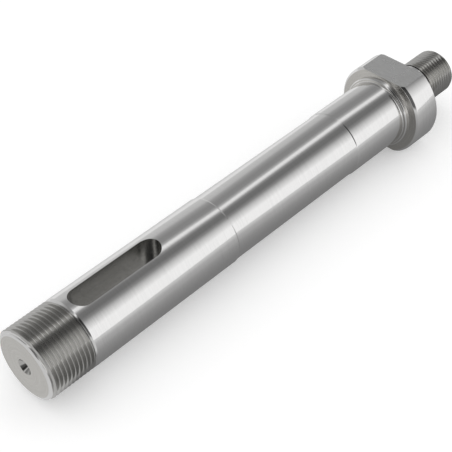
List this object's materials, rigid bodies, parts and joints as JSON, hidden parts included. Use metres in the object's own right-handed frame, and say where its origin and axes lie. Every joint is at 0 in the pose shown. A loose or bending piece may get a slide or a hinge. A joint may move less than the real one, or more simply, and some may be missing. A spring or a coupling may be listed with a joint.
{
  "type": "stepped spindle shaft",
  "caption": "Turned steel spindle: large threaded end, keyed journal, relieved middle, bearing seat against a collar with wrench flats, and a small threaded stub.",
  "frame": {"origin": "on the shaft's axis, halfway along its length", "axes": "+X along the axis, towards the small threaded stub; +Z square to the wrench flats and out of the keyway; +Y completes the right-handed set"},
  "size_m": [0.2852, 0.049, 0.041],
  "materials": {
    "ground_steel": "ground and turned bright steel"
  },
  "bodies": {
    "root": {"stepped_shaft": "ground_steel"}
  },
  "joints": []
}
